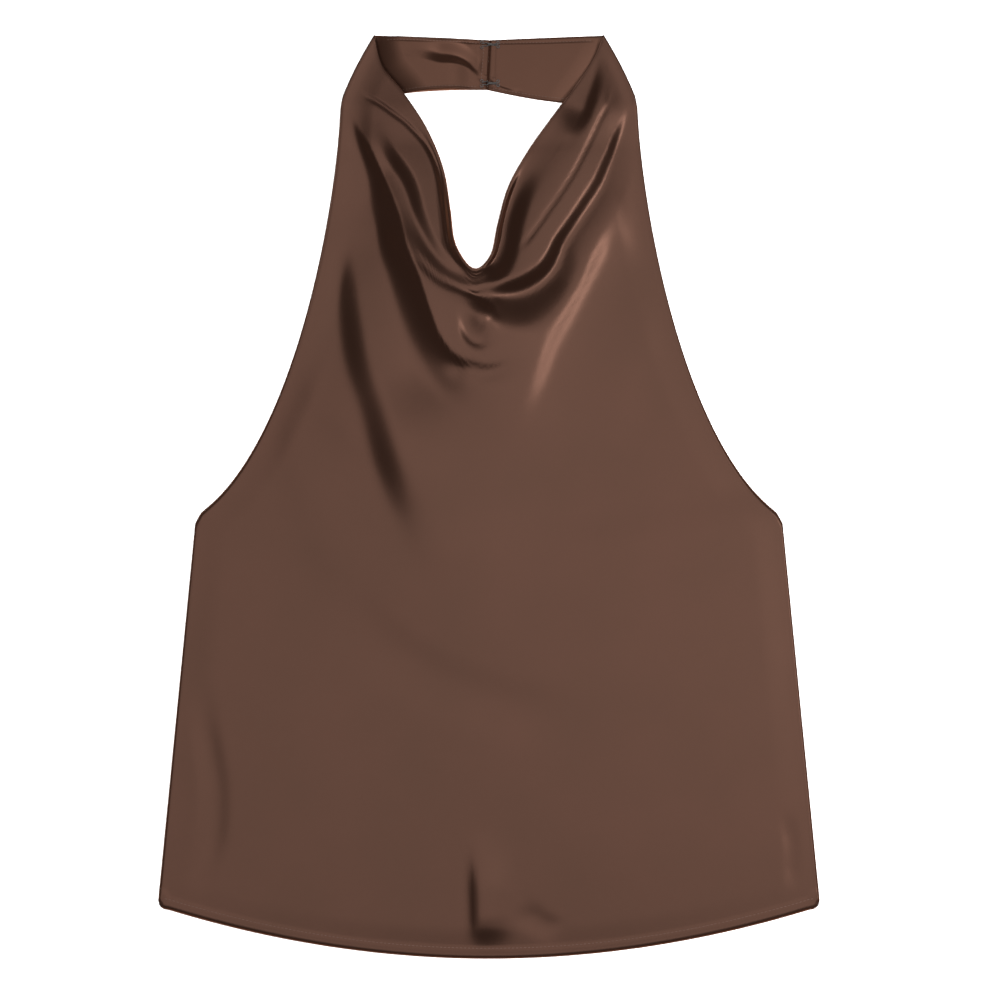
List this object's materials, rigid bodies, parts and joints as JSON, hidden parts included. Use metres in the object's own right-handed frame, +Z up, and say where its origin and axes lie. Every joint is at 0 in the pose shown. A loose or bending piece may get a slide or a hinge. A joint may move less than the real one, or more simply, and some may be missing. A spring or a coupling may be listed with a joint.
{
  "type": "halter neck top",
  "caption": "Sleeveless satin halter neck top laid flat, with a draped cowl front, a joined back neckband closed by hooks and eyes, and a curved hem.",
  "frame": {"origin": "middle of the garment's outline on the surface it lies on", "axes": "+X across to the right of the picture, +Y towards the neckband, +Z up from the surface"},
  "size_m": [0.482, 0.673, 0.0184],
  "materials": {
    "satin": "brown satin, right side, with a soft directional sheen",
    "satin_inside": "brown satin, inside, less glossy",
    "dark_wire": "dark coated wire"
  },
  "bodies": {
    "root": {"front_panel": "satin", "back_panel": "satin_inside", "neckband_left": "satin_inside", "neckband_right": "satin_inside", "hook_upper": "dark_wire", "hook_lower": "dark_wire", "eye_upper": "dark_wire", "eye_lower": "dark_wire"}
  },
  "joints": []
}
